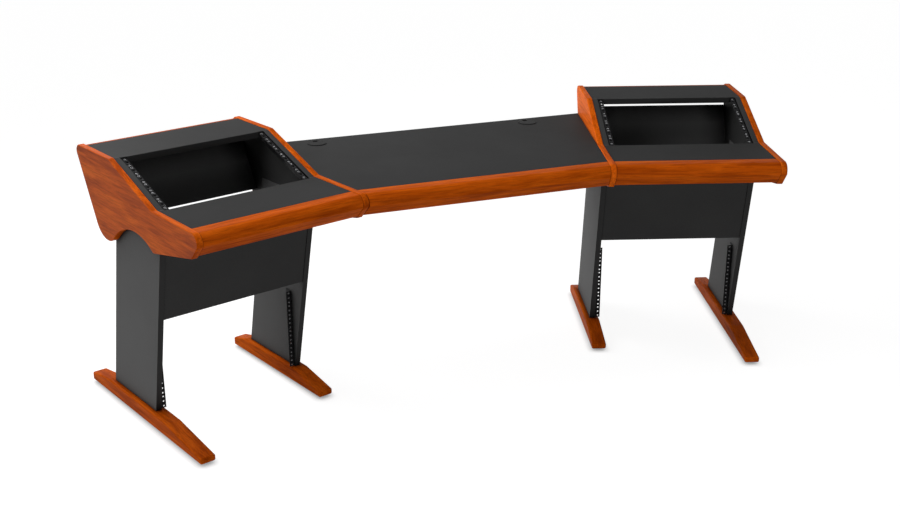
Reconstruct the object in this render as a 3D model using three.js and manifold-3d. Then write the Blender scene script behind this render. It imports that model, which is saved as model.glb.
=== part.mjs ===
// A studio desk: two rack turrets on leg frames, turned in towards the player, joined by a centre top.
// Units are millimetres, +Z is up. In a wing, u runs outward from the seam, v runs back and z runs up.
import * as THREE from 'three';
import { mergeVertices } from 'three/addons/utils/BufferGeometryUtils.js';
import Module from 'manifold-3d';

// Fits shared by every piece
const SEAT_GAP = 0.3; // between pieces that touch
const CUT_OVERRUN = 2; // how far a cutter runs past the face it cuts
const DEGREE = Math.PI / 180;

// Rack standard that the turrets are built around
const RACK_UNIT_HEIGHT = 44.45;
const RACK_UNITS = 6;
const RACK_OPENING = 450; // clear width between the front flanges
const RACK_HOLE_INSET = 7.55; // from a flange's edge to the middle of its holes
const RACK_PANEL_OVERLAP = 8.75; // of a rack panel past the middle of the holes
const RACK_HOLE_DIAMETER = 6.5;
const RACK_HOLE_PITCH_SHARES = [1 / 7, 1 / 2, 6 / 7]; // heights of the three holes in one unit
const RACK_PANEL_WIDTH = RACK_OPENING + 2 * (RACK_HOLE_INSET + RACK_PANEL_OVERLAP);
const RACK_LENGTH = RACK_UNIT_HEIGHT * RACK_UNITS;
const RACK_SIDE_CLEARANCE = 2.2;
const RACK_FOOT_CLEARANCE = 4.1; // between the foot of the slope and the rail
const RACK_HEAD_CLEARANCE = 5.7;

// Boards
const CHEEK_THICKNESS = 20;
const BOARD_THICKNESS = 18;
const WORKTOP_THICKNESS = 25;
const TURRET_TOP_THICKNESS = 19;
const MODESTY_THICKNESS = 16;

// Overall plan
const WING_ANGLE = 18.2 * DEGREE;
const CENTRE_FRONT_WIDTH = 832.8; // at the line where the armrest meets the top
const CENTRE_DEPTH = 609;
const BAY_WIDTH = RACK_PANEL_WIDTH + 2 * RACK_SIDE_CLEARANCE;
const BAY_INSET = CHEEK_THICKNESS + SEAT_GAP + BOARD_THICKNESS; // from a cheek's outer face to the bay
const WING_WIDTH = BAY_WIDTH + 2 * BAY_INSET;
const SEAM_HALF_WIDTH = CENTRE_FRONT_WIDTH / 2;

// Heights
const GLIDE_HEIGHT = 8;
const FOOT_HEIGHT = 48;
const WORKTOP_HEIGHT = 740;
const FOOT_TOP = GLIDE_HEIGHT + FOOT_HEIGHT;
const WORKTOP_UNDERSIDE = WORKTOP_HEIGHT - WORKTOP_THICKNESS;

// Turret: the slope carries the upper rack, 6 units long with a clearance at each end
const SLOPE_ANGLE = 20.25 * DEGREE;
const SLOPE_LENGTH = RACK_LENGTH + RACK_FOOT_CLEARANCE + RACK_HEAD_CLEARANCE;
const SLOPE_RUN = SLOPE_LENGTH * Math.cos(SLOPE_ANGLE);
const SLOPE_RISE = SLOPE_LENGTH * Math.sin(SLOPE_ANGLE);
const WORKTOP_DEPTH = 191;
const SLOPE_SETBACK = 7.6; // from the worktop to the foot of the slope
const TURRET_TOP_ADVANCE = 6.5; // in front of the top of the slope
const TURRET_TOP_DEPTH = 195;
const LIPPING_DEPTH = 10;
const LIPPING_ROUND = 1.5;
const TURRET_HEIGHT = WORKTOP_HEIGHT + SLOPE_RISE;
const TURRET_UNDERSIDE = TURRET_HEIGHT - TURRET_TOP_THICKNESS;
const SLOPE_FOOT_V = WORKTOP_DEPTH + SLOPE_SETBACK;
const SLOPE_TOP_V = SLOPE_FOOT_V + SLOPE_RUN;
const TURRET_TOP_V = SLOPE_TOP_V - TURRET_TOP_ADVANCE;
const LIPPING_V = TURRET_TOP_V + TURRET_TOP_DEPTH + SEAT_GAP;

// Armrest: a bullnose with a chamfer under it
const ARMREST_FLAT = 35; // from its back face to where the nose starts to round
const ARMREST_NOSE_RADIUS = 26;
const ARMREST_FRONT_HEIGHT = 9; // upright face below the rounding
const ARMREST_HEIGHT = 70;
const ARMREST_CHAMFER_ANGLE = 47.9 * DEGREE; // from level
const ARMREST_SEGMENTS = 7;

// Cheek: follows the turret and the armrest, standing a little proud of both
const CHEEK_PROUD = 2;
const CHEEK_NOSE_DROP = 77; // from the worktop to the cheek's lower front corner
const CHEEK_BELLY_ANGLE = 12 * DEGREE;
const CHEEK_ARCH_RADIUS = 205;
const CHEEK_ARCH_CENTRE_V = 322;
const CHEEK_ARCH_DROP = 92; // from the worktop to the top of the arch
const CHEEK_LOBE_RADIUS = 74;
const CHEEK_LOBE_DROP = 171.5; // from the worktop to the bottom of the lobe
const CHEEK_TOP_CORNER_RADIUS = 22;
const CHEEK_BELLY_CORNER_RADIUS = 14;
const CHEEK_NOSE_CORNER_RADIUS = 9;
const CHEEK_EDGE_ROUND = 3;
const CHEEK_ARC_STEP = 9 * DEGREE;
const BACK_RAKE = 26.5 * DEGREE; // back edge and back panel lean out by this towards the top

// Leg frame
const LEG_LEAN = 12.6 * DEGREE; // the top stands forward of the foot
const LEG_FRONT_V = 331.4; // at the foot
const LEG_WIDTH = 285;
const LEG_TOP_DROP = 64; // from the worktop to the top of the leg
const MODESTY_DROP = 360.5; // from the worktop to the bottom of the panel
const MODESTY_RECESS = 2;
const LEG_TOP = WORKTOP_HEIGHT - LEG_TOP_DROP;
const MODESTY_BOTTOM = WORKTOP_HEIGHT - MODESTY_DROP;

// Back panel: its front face lies on the rear edges of the carcass sides
const BACK_PANEL_DROP = 111.7; // from the worktop to the panel's bottom
const BACK_PANEL_HEIGHT = 166; // along the rake
const BACK_PANEL_INSET = 75; // level distance from the cheek's back edge to the panel's front face
const BACK_PANEL_BOTTOM = WORKTOP_HEIGHT - BACK_PANEL_DROP;

// Feet, each with a level top under the leg and a taper to both ends
const FOOT_WIDTH = 44;
const FOOT_EDGE_ROUND = 5;
const FOOT_CORNER_RADIUS = 6;
const FOOT_FRONT_END_HEIGHT = 20;
const FOOT_REAR_END_HEIGHT = 27;
const OUTER_FOOT = { front: 25.7, rear: 763.4, frontFlat: 94.4, rearFlat: 18.6 }; // flats run past the leg
const INNER_FOOT = { front: 165.5, rear: 710.5, frontFlat: 18.4, rearFlat: 11.6 };

// Glides
const GLIDE_DIAMETER = 22;
const GLIDE_CHAMFER = 2;
const GLIDE_INSET = 38; // from the end of the foot to the glide's middle
const GLIDE_SEGMENTS = 16;

// Rack rails: folded steel angle
const RAIL_STEEL = 2;
const RAIL_SIDE_FLANGE = 30;
const RAIL_RECESS = 3; // a rack panel's thickness below the edge of the board
const LOWER_RAIL_LIFT = 2.2; // above the foot
const LOWER_RAIL_V = 334.5;
const RAIL_HOLE_SEGMENTS = 10;
const RAIL_FACE_WIDTH = (BAY_WIDTH - RACK_OPENING) / 2 - SEAT_GAP;
const RAIL_END_CLEARANCE = 1.5; // round the upper rail's end, in the turret top's notch
const UPPER_RAIL_TAIL = 7; // of the upper rail past its lowest unit, towards the worktop

// Screw holes in the side flange
const SCREW_HOLE_DIAMETER = 4.6;
const SCREW_HOLE_SEGMENTS = 8;
const SCREW_PLACE_SHARES = [0.1, 0.5, 0.9]; // along the rail
const SCREW_FLANGE_SHARE = 0.6; // of the side flange, from its front

// Rails under the tops
const REAR_RAIL_HEIGHT = 60;
const REAR_RAIL_V = 470;

// Steel angles that carry the centre top on the inner cheeks
const BRACKET_LEG = 40;
const BRACKET_LENGTH = 60;
const BRACKET_STEEL = 3;
const FRONT_BRACKET_V = 110;
const REAR_BRACKET_V = 380;

// Cable grommets in the centre top
const GROMMET_SPACING = 774;
const GROMMET_SETBACK = 57.5; // from the rear edge to the middle
const GROMMET_BORE = 60; // hole in the top
const GROMMET_FLANGE_DIAMETER = 66;
const GROMMET_FLANGE_THICKNESS = 1.8;
const GROMMET_WALL = 2.5;
const GROMMET_DEPTH = 22;
const GROMMET_LEDGE = 2; // width that the cap rests on
const GROMMET_CHAMFER = 0.6;
const GROMMET_CLEARANCE = 0.4; // between liner and cap
const CAP_THICKNESS = 2;
const CAP_SKIRT_WALL = 2;
const CAP_SKIRT_DEPTH = 8;
const CAP_NOTCH_WIDTH = 16;
const CAP_NOTCH_DEPTH = 14;
const GROMMET_SEGMENTS = 32;

const wasm = await Module();
wasm.setup();

function finish(colour, roughness, metalness) {
  return () => new THREE.MeshStandardMaterial({ color: colour, roughness, metalness, flatShading: true });
}

const WOOD = finish(0xb2501a, 0.45, 0);
const LAMINATE = finish(0x3c3c3c, 0.6, 0);
const BLACK_BOARD = finish(0x333334, 0.6, 0);
const BLACK_STEEL = finish(0x18181a, 0.45, 0.6);
const ZINC_STEEL = finish(0x8b8d90, 0.35, 0.9);
const BLACK_PLASTIC = finish(0x1c1c1d, 0.5, 0);
const NYLON = finish(0xe8e6e0, 0.5, 0);

// Joining and cutting
function weld(geometry) {
  const bare = geometry.clone();
  bare.deleteAttribute('normal');
  bare.deleteAttribute('uv');
  return mergeVertices(bare);
}

function toSolid(geometry) {
  const welded = weld(geometry);
  const vertProperties = new Float32Array(welded.attributes.position.array);
  const triVerts = new Uint32Array(welded.index.array);
  return new wasm.Manifold(new wasm.Mesh({ numProp: 3, vertProperties, triVerts }));
}

function fromSolid(solid) {
  const mesh = solid.getMesh();
  const positions = new THREE.BufferAttribute(new Float32Array(mesh.vertProperties), mesh.numProp);
  const geometry = new THREE.BufferGeometry();
  geometry.setAttribute('position', positions);
  geometry.setIndex(Array.from(mesh.triVerts));
  return geometry;
}

function cut(geometry, cutters) {
  const solid = cutters.reduce((left, cutter) => left.subtract(toSolid(cutter)), toSolid(geometry));
  return fromSolid(solid);
}

function mirror(geometry) {
  const mirrored = weld(geometry);
  mirrored.scale(-1, 1, 1);
  const index = mirrored.index.array;
  for (let i = 0; i < index.length; i += 3) {
    const second = index[i + 1];
    index[i + 1] = index[i + 2];
    index[i + 2] = second;
  }
  return mirrored;
}

// Forms
function box([u0, u1], [v0, v1], [z0, z1]) {
  const geometry = new THREE.BoxGeometry(u1 - u0, v1 - v0, z1 - z0);
  geometry.translate((u0 + u1) / 2, (v0 + v1) / 2, (z0 + z1) / 2);
  return geometry;
}

// Stands a shape drawn in (v, z) upright and extrudes it along u, from 0 to the thickness.
const UPRIGHT = new THREE.Matrix4().makeBasis(
  new THREE.Vector3(0, 1, 0),
  new THREE.Vector3(0, 0, 1),
  new THREE.Vector3(1, 0, 0),
);

function plate(shape, thickness, edgeRound = 0, curveSegments = 1) {
  const geometry = new THREE.ExtrudeGeometry(shape, {
    depth: thickness - 2 * edgeRound,
    bevelEnabled: edgeRound > 0,
    bevelThickness: edgeRound,
    bevelSize: edgeRound,
    bevelOffset: -edgeRound,
    bevelSegments: 2,
    curveSegments,
  });
  geometry.translate(0, 0, edgeRound);
  geometry.applyMatrix4(UPRIGHT);
  return geometry;
}

function polygon(points) {
  return new THREE.Shape(points.map(([x, y]) => new THREE.Vector2(x, y)));
}

// A rod along Z from the origin upwards, flat sides.
function rod(diameter, length, segments) {
  const geometry = new THREE.CylinderGeometry(diameter / 2, diameter / 2, length, segments);
  geometry.rotateX(Math.PI / 2);
  geometry.translate(0, 0, length / 2);
  return geometry;
}

// A turned piece about Z; the profile is (radius, z) and closes on itself or on the axis.
function turned(profile, segments) {
  const points = profile.map(([radius, z]) => new THREE.Vector2(radius, z));
  const geometry = new THREE.LatheGeometry(points, segments);
  geometry.rotateX(Math.PI / 2);
  return geometry;
}

function arcPoints(centreV, centreZ, radius, from, to, step) {
  const count = Math.max(2, Math.ceil(Math.abs(to - from) / step));
  return Array.from({ length: count + 1 }, (_, i) => {
    const angle = from + ((to - from) * i) / count;
    return [centreV + radius * Math.cos(angle), centreZ + radius * Math.sin(angle)];
  });
}

// Rounds the corner of three points with an arc of the given radius.
function roundedCorner(before, corner, after, radius, step) {
  const a = new THREE.Vector2(before[0] - corner[0], before[1] - corner[1]).normalize();
  const b = new THREE.Vector2(after[0] - corner[0], after[1] - corner[1]).normalize();
  const half = Math.acos(THREE.MathUtils.clamp(a.dot(b), -1, 1)) / 2;
  const middle = a.clone().add(b).normalize().multiplyScalar(radius / Math.sin(half));
  const centre = new THREE.Vector2(corner[0], corner[1]).add(middle);
  const reach = radius / Math.tan(half);
  const start = a.multiplyScalar(reach).add(new THREE.Vector2(corner[0], corner[1])).sub(centre).angle();
  const end = b.multiplyScalar(reach).add(new THREE.Vector2(corner[0], corner[1])).sub(centre).angle();
  const turn = THREE.MathUtils.euclideanModulo(end - start + Math.PI, 2 * Math.PI) - Math.PI;
  return arcPoints(centre.x, centre.y, radius, start, start + turn, step);
}

// Slope helpers: a point that lies s up the slope and n out of it
function onSlope(s, n) {
  return [
    SLOPE_FOOT_V + s * Math.cos(SLOPE_ANGLE) - n * Math.sin(SLOPE_ANGLE),
    WORKTOP_HEIGHT + s * Math.sin(SLOPE_ANGLE) + n * Math.cos(SLOPE_ANGLE),
  ];
}

// Front and rear edges of the leaning leg, at a height
const legFront = (z) => LEG_FRONT_V - (z - FOOT_TOP) * Math.tan(LEG_LEAN);
const legRear = (z) => legFront(z) + LEG_WIDTH;

// Lobe of the cheek: a circle that touches the arch, and the raked back edge that touches the lobe
const ARCH_CENTRE_Z = WORKTOP_HEIGHT - CHEEK_ARCH_DROP - CHEEK_ARCH_RADIUS;
const LOBE_CENTRE_Z = WORKTOP_HEIGHT - CHEEK_LOBE_DROP + CHEEK_LOBE_RADIUS;
const LOBE_RISE = LOBE_CENTRE_Z - ARCH_CENTRE_Z;
const LOBE_CENTRE_V =
  CHEEK_ARCH_CENTRE_V + Math.sqrt((CHEEK_ARCH_RADIUS + CHEEK_LOBE_RADIUS) ** 2 - LOBE_RISE ** 2);
const cheekRear = (z) =>
  LOBE_CENTRE_V + CHEEK_LOBE_RADIUS / Math.cos(BACK_RAKE) + (z - LOBE_CENTRE_Z) * Math.tan(BACK_RAKE);
const sideRear = (z) => cheekRear(z) - BACK_PANEL_INSET;

// Armrest section in (v, z) from its back face to its nose, grown by the amount that a cheek is proud
function noseOutline(proud, bottomDrop) {
  const radius = ARMREST_NOSE_RADIUS + proud;
  const centre = [-ARMREST_FLAT, WORKTOP_HEIGHT - ARMREST_NOSE_RADIUS];
  const step = Math.PI / (2 * ARMREST_SEGMENTS);
  const nose = arcPoints(centre[0], centre[1], radius, Math.PI / 2, Math.PI, step);
  const front = centre[0] - radius;
  const chamferTop = centre[1] - ARMREST_FRONT_HEIGHT;
  const bottom = WORKTOP_HEIGHT - bottomDrop;
  const chamferFoot = [front + (chamferTop - bottom) / Math.tan(ARMREST_CHAMFER_ANGLE), bottom];
  return { nose, chamferTop: [front, chamferTop], chamferFoot };
}

function armrestShape() {
  const { nose, chamferTop, chamferFoot } = noseOutline(0, ARMREST_HEIGHT);
  const back = [
    [0, WORKTOP_HEIGHT - ARMREST_HEIGHT],
    [0, WORKTOP_HEIGHT],
  ];
  return polygon([...back, ...nose, chamferTop, chamferFoot]);
}

function cheekShape() {
  const { nose, chamferTop, chamferFoot } = noseOutline(CHEEK_PROUD, CHEEK_NOSE_DROP);
  const shift = CHEEK_PROUD * Math.tan(SLOPE_ANGLE / 2);
  const top = TURRET_HEIGHT + CHEEK_PROUD;
  const slopeFoot = [SLOPE_FOOT_V - shift, WORKTOP_HEIGHT + CHEEK_PROUD];
  const slopeTop = [SLOPE_TOP_V - shift, top];
  const rearTop = [cheekRear(top), top];
  const belly = (v) => chamferFoot[1] - (v - chamferFoot[0]) * Math.tan(CHEEK_BELLY_ANGLE);
  const archAngle = bellyMeetsArch(belly);
  const contact = Math.atan2(LOBE_RISE, LOBE_CENTRE_V - CHEEK_ARCH_CENTRE_V);
  const arch = arcPoints(
    CHEEK_ARCH_CENTRE_V, ARCH_CENTRE_Z, CHEEK_ARCH_RADIUS,
    archAngle, contact, CHEEK_ARC_STEP,
  );
  const lobe = arcPoints(
    LOBE_CENTRE_V, LOBE_CENTRE_Z, CHEEK_LOBE_RADIUS,
    contact + Math.PI, 2 * Math.PI - BACK_RAKE, 2 * CHEEK_ARC_STEP,
  );
  const corner = arch[0];
  return polygon([
    ...nose,
    ...roundedCorner(nose.at(-1), chamferTop, chamferFoot, CHEEK_NOSE_CORNER_RADIUS, 3 * CHEEK_ARC_STEP),
    ...roundedCorner(chamferTop, chamferFoot, corner, CHEEK_NOSE_CORNER_RADIUS, 3 * CHEEK_ARC_STEP),
    ...roundedCorner(chamferFoot, corner, arch[1], CHEEK_BELLY_CORNER_RADIUS, 2 * CHEEK_ARC_STEP),
    ...arch.slice(1),
    ...lobe.slice(1),
    ...roundedCorner(lobe.at(-1), rearTop, slopeTop, CHEEK_TOP_CORNER_RADIUS, 2 * CHEEK_ARC_STEP),
    slopeTop,
    slopeFoot,
  ]);
}

// Angle on the arch's circle where the belly line runs into it, on its front side
function bellyMeetsArch(belly) {
  const drop = ARCH_CENTRE_Z - belly(CHEEK_ARCH_CENTRE_V);
  const tilt = Math.tan(CHEEK_BELLY_ANGLE);
  const reach = Math.hypot(1, tilt);
  const offset = Math.acos(-drop / (CHEEK_ARCH_RADIUS * reach));
  return Math.atan2(1, tilt) + offset;
}

// Pieces of one wing. Those that come in pairs are built on the inner side of the wing, at low u.
function onOuterSide(geometry) {
  const moved = mirror(geometry);
  moved.translate(WING_WIDTH, 0, 0);
  return moved;
}

function onUpperRail(geometry) {
  const [v, z] = onSlope(RACK_FOOT_CLEARANCE, -RAIL_RECESS);
  geometry.rotateX(SLOPE_ANGLE - Math.PI / 2);
  return geometry.translate(BAY_INSET + SEAT_GAP, v, z);
}

function onLowerRail(geometry) {
  return geometry.translate(BAY_INSET + SEAT_GAP, LOWER_RAIL_V, FOOT_TOP + LOWER_RAIL_LIFT);
}

// A rod that runs along u, centred on the origin at its low end
function crossRod(diameter, length, segments) {
  return rod(diameter, length, segments).rotateY(Math.PI / 2);
}

function railScrewHoles() {
  const hole = crossRod(SCREW_HOLE_DIAMETER, RAIL_STEEL + 2 * CUT_OVERRUN, SCREW_HOLE_SEGMENTS);
  hole.translate(-CUT_OVERRUN, RAIL_SIDE_FLANGE * SCREW_FLANGE_SHARE, 0);
  return SCREW_PLACE_SHARES.map((share) => hole.clone().translate(0, 0, RACK_LENGTH * share));
}

function rackHoles() {
  const hole = rod(RACK_HOLE_DIAMETER, RAIL_STEEL + 2 * CUT_OVERRUN, RAIL_HOLE_SEGMENTS);
  hole.rotateX(-Math.PI / 2).translate(RAIL_FACE_WIDTH - RACK_HOLE_INSET, -CUT_OVERRUN, 0);
  const units = Array.from({ length: RACK_UNITS }, (_, unit) => unit);
  const places = units.flatMap((unit) => RACK_HOLE_PITCH_SHARES.map((share) => unit + share));
  return places.map((place) => hole.clone().translate(0, 0, place * RACK_UNIT_HEIGHT));
}

// Upright rail: its face is at v = 0 and its side flange at u = 0, against the board. The tail runs on below.
function rackRail(tail = 0) {
  const section = polygon([
    [0, 0],
    [RAIL_FACE_WIDTH, 0],
    [RAIL_FACE_WIDTH, RAIL_STEEL],
    [RAIL_STEEL, RAIL_STEEL],
    [RAIL_STEEL, RAIL_SIDE_FLANGE],
    [0, RAIL_SIDE_FLANGE],
  ]);
  const angle = new THREE.ExtrudeGeometry(section, { depth: RACK_LENGTH + tail, bevelEnabled: false });
  angle.translate(0, 0, -tail);
  return cut(angle, [...rackHoles(), ...railScrewHoles()]);
}

function cheek() {
  return plate(cheekShape(), CHEEK_THICKNESS, CHEEK_EDGE_ROUND);
}

// Carcass side: from the armrest back to the raked rear edge, with the slope cut into its top
function carcassSide() {
  const underTop = TURRET_UNDERSIDE - SEAT_GAP;
  const crest = crestEndV() - SEAT_GAP;
  const shape = polygon([
    [SEAT_GAP, LEG_TOP],
    [legRear(LEG_TOP) + SEAT_GAP, LEG_TOP],
    [legRear(BACK_PANEL_BOTTOM) + SEAT_GAP, BACK_PANEL_BOTTOM],
    [sideRear(BACK_PANEL_BOTTOM), BACK_PANEL_BOTTOM],
    [sideRear(underTop), underTop],
    [crest, underTop],
    [crest, TURRET_HEIGHT],
    [SLOPE_TOP_V, TURRET_HEIGHT],
    [SLOPE_FOOT_V, WORKTOP_HEIGHT],
    [WORKTOP_DEPTH, WORKTOP_HEIGHT],
    [WORKTOP_DEPTH, WORKTOP_UNDERSIDE - SEAT_GAP],
    [SEAT_GAP, WORKTOP_UNDERSIDE - SEAT_GAP],
  ]);
  return plate(shape, BOARD_THICKNESS).translate(CHEEK_THICKNESS + SEAT_GAP, 0, 0);
}

function leg() {
  const top = LEG_TOP - SEAT_GAP;
  const bottom = FOOT_TOP + SEAT_GAP;
  const shape = polygon([
    [legFront(bottom), bottom],
    [legRear(bottom), bottom],
    [legRear(top), top],
    [legFront(top), top],
  ]);
  return plate(shape, BOARD_THICKNESS).translate(CHEEK_THICKNESS + SEAT_GAP, 0, 0);
}

// The foot and its glides lie under the middle of the leg's thickness.
const LEG_MIDDLE_U = CHEEK_THICKNESS + SEAT_GAP + BOARD_THICKNESS / 2;

function footShape({ front, rear, frontFlat, rearFlat }) {
  const outline = [
    [front, GLIDE_HEIGHT],
    [rear, GLIDE_HEIGHT],
    [rear, GLIDE_HEIGHT + FOOT_REAR_END_HEIGHT],
    [LEG_FRONT_V + LEG_WIDTH + rearFlat, FOOT_TOP],
    [LEG_FRONT_V - frontFlat, FOOT_TOP],
    [front, GLIDE_HEIGHT + FOOT_FRONT_END_HEIGHT],
  ];
  const corner = (i) => roundedCorner(
    outline[(i + outline.length - 1) % outline.length], outline[i], outline[(i + 1) % outline.length],
    FOOT_CORNER_RADIUS, CHEEK_ARC_STEP * 3,
  );
  return polygon(outline.flatMap((_, i) => corner(i)));
}

function foot(extent) {
  const solid = plate(footShape(extent), FOOT_WIDTH, FOOT_EDGE_ROUND);
  return solid.translate(LEG_MIDDLE_U - FOOT_WIDTH / 2, 0, 0);
}

function glide(v) {
  const radius = GLIDE_DIAMETER / 2;
  const profile = [
    [0, 0],
    [radius - GLIDE_CHAMFER, 0],
    [radius, GLIDE_CHAMFER],
    [radius, GLIDE_HEIGHT - SEAT_GAP],
    [0, GLIDE_HEIGHT - SEAT_GAP],
  ];
  return turned(profile, GLIDE_SEGMENTS).translate(LEG_MIDDLE_U, v, 0);
}

// Boards that span the wing: between the cheeks, or between the carcass sides
const BETWEEN_CHEEKS = [CHEEK_THICKNESS + SEAT_GAP, WING_WIDTH - CHEEK_THICKNESS - SEAT_GAP];
const BETWEEN_SIDES = [BAY_INSET + SEAT_GAP, WING_WIDTH - BAY_INSET - SEAT_GAP];

function spanning(shape, [u0, u1]) {
  return plate(shape, u1 - u0).translate(u0, 0, 0);
}

// Turret top: in plan its front edge steps back for the carcass sides, and the upper rails' ends are cut out.
function turretTop() {
  const [left, right] = BETWEEN_CHEEKS;
  const [bayLeft] = BETWEEN_SIDES;
  const rear = LIPPING_V - SEAT_GAP;
  const steps = [
    [left, crestEndV()],
    [bayLeft, crestEndV()],
    [bayLeft, TURRET_TOP_V],
  ];
  const mirrored = steps.map(([u, v]) => [WING_WIDTH - u, v]).reverse();
  const shape = polygon([...steps, ...mirrored, [right, rear], [left, rear]]);
  const board = new THREE.ExtrudeGeometry(shape, { depth: TURRET_TOP_THICKNESS, bevelEnabled: false });
  board.translate(0, 0, TURRET_UNDERSIDE);
  return cut(board, [railEndCutter(), onOuterSide(railEndCutter())]);
}

// The end of an upper rail with its clearance, run on through the board's faces and front edge
function railEndCutter() {
  const across = [-CUT_OVERRUN, RAIL_FACE_WIDTH + RAIL_END_CLEARANCE];
  const deep = [-TURRET_TOP_THICKNESS, RAIL_SIDE_FLANGE];
  const along = [RACK_LENGTH - TURRET_TOP_THICKNESS, RACK_LENGTH + RAIL_END_CLEARANCE];
  return onUpperRail(box(across, deep, along));
}

// Back end of the carcass side's crest, behind all that the rail's end takes from the turret top
function crestEndV() {
  const along = RACK_FOOT_CLEARANCE + RACK_LENGTH + 2 * RAIL_END_CLEARANCE;
  const [v, z] = onSlope(along, 0);
  return v + (z - TURRET_UNDERSIDE) * Math.tan(SLOPE_ANGLE);
}

function lippingShape() {
  const rear = LIPPING_V + LIPPING_DEPTH;
  const low = [rear, TURRET_UNDERSIDE];
  const high = [rear, TURRET_HEIGHT];
  const frontLow = [LIPPING_V, TURRET_UNDERSIDE];
  const frontHigh = [LIPPING_V, TURRET_HEIGHT];
  return polygon([
    frontLow,
    ...roundedCorner(frontLow, low, high, LIPPING_ROUND, CHEEK_ARC_STEP * 3),
    ...roundedCorner(low, high, frontHigh, LIPPING_ROUND, CHEEK_ARC_STEP * 3),
    frontHigh,
  ]);
}

function backPanelShape() {
  const along = new THREE.Vector2(Math.sin(BACK_RAKE), Math.cos(BACK_RAKE)).multiplyScalar(BACK_PANEL_HEIGHT);
  const across = new THREE.Vector2(Math.cos(BACK_RAKE), -Math.sin(BACK_RAKE));
  const frontV = sideRear(BACK_PANEL_BOTTOM) + SEAT_GAP / Math.cos(BACK_RAKE);
  const foot = new THREE.Vector2(frontV, BACK_PANEL_BOTTOM);
  const rear = new THREE.Vector2(frontV + BOARD_THICKNESS / Math.cos(BACK_RAKE), BACK_PANEL_BOTTOM);
  const top = foot.clone().add(along);
  return new THREE.Shape([foot, rear, top.clone().addScaledVector(across, BOARD_THICKNESS), top]);
}

function modestyShape() {
  const top = WORKTOP_UNDERSIDE - SEAT_GAP;
  const level = MODESTY_THICKNESS / Math.cos(LEG_LEAN);
  const front = (z) => legFront(z) + MODESTY_RECESS;
  return polygon([
    [front(MODESTY_BOTTOM), MODESTY_BOTTOM],
    [front(MODESTY_BOTTOM) + level, MODESTY_BOTTOM],
    [front(top) + level, top],
    [front(top), top],
  ]);
}

// Steel angle on the centre's side of the inner cheek, under the centre top
function seamBracket(v) {
  const section = polygon([
    [-SEAT_GAP, 0],
    [-BRACKET_LEG, 0],
    [-BRACKET_LEG, -BRACKET_STEEL],
    [-SEAT_GAP - BRACKET_STEEL, -BRACKET_STEEL],
    [-SEAT_GAP - BRACKET_STEEL, -BRACKET_LEG],
    [-SEAT_GAP, -BRACKET_LEG],
  ]);
  const angle = new THREE.ExtrudeGeometry(section, { depth: BRACKET_LENGTH, bevelEnabled: false });
  angle.rotateX(Math.PI / 2);
  return angle.translate(0, v + BRACKET_LENGTH, WORKTOP_UNDERSIDE - SEAT_GAP);
}

// Centre: everything here lies between the two seams and is symmetric about x = 0.
const seamX = (y, gap) => SEAM_HALF_WIDTH + y * Math.tan(WING_ANGLE) - gap / Math.cos(WING_ANGLE);

function mitred([y0, y1], [z0, z1], gap = SEAT_GAP) {
  const shape = polygon([
    [-seamX(y0, gap), y0],
    [seamX(y0, gap), y0],
    [seamX(y1, gap), y1],
    [-seamX(y1, gap), y1],
  ]);
  const geometry = new THREE.ExtrudeGeometry(shape, { depth: z1 - z0, bevelEnabled: false });
  return geometry.translate(0, 0, z0);
}

function centreTop() {
  const board = mitred([SEAT_GAP, CENTRE_DEPTH], [WORKTOP_UNDERSIDE, WORKTOP_HEIGHT]);
  const depth = WORKTOP_THICKNESS + 2 * CUT_OVERRUN;
  const bores = [-1, 1].map((side) => {
    const bore = rod(GROMMET_BORE, depth, GROMMET_SEGMENTS);
    return bore.translate((side * GROMMET_SPACING) / 2, GROMMET_Y, WORKTOP_UNDERSIDE - CUT_OVERRUN);
  });
  return cut(board, bores);
}

function centreArmrest() {
  const length = CENTRE_FRONT_WIDTH;
  const bar = plate(armrestShape(), length).translate(-length / 2, 0, 0);
  const depth = ARMREST_FLAT + 2 * ARMREST_NOSE_RADIUS;
  const blockZ = [WORKTOP_UNDERSIDE - ARMREST_HEIGHT, WORKTOP_HEIGHT + CUT_OVERRUN];
  const block = mitred([-depth, CUT_OVERRUN], blockZ);
  return fromSolid(toSolid(bar).intersect(toSolid(block)));
}

// Grommets, built about Z with the top of the board at z = 0
const GROMMET_Y = CENTRE_DEPTH - GROMMET_SETBACK;
const LINER_RADIUS = GROMMET_BORE / 2 - SEAT_GAP;
const LINER_INSIDE = LINER_RADIUS - GROMMET_WALL;
const CAP_RADIUS = LINER_INSIDE + GROMMET_LEDGE - GROMMET_CLEARANCE;
const FLANGE_TOP = SEAT_GAP + GROMMET_FLANGE_THICKNESS;
const LEDGE_HEIGHT = FLANGE_TOP - CAP_THICKNESS - SEAT_GAP;

function grommetLiner() {
  const rim = GROMMET_FLANGE_DIAMETER / 2;
  const recess = LINER_INSIDE + GROMMET_LEDGE;
  return turned(
    [
      [LINER_INSIDE, -GROMMET_DEPTH],
      [LINER_RADIUS, -GROMMET_DEPTH],
      [LINER_RADIUS, SEAT_GAP],
      [rim, SEAT_GAP],
      [rim, FLANGE_TOP - GROMMET_CHAMFER],
      [rim - GROMMET_CHAMFER, FLANGE_TOP],
      [recess, FLANGE_TOP],
      [recess, LEDGE_HEIGHT],
      [LINER_INSIDE, LEDGE_HEIGHT],
      [LINER_INSIDE, -GROMMET_DEPTH],
    ],
    GROMMET_SEGMENTS,
  );
}

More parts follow.
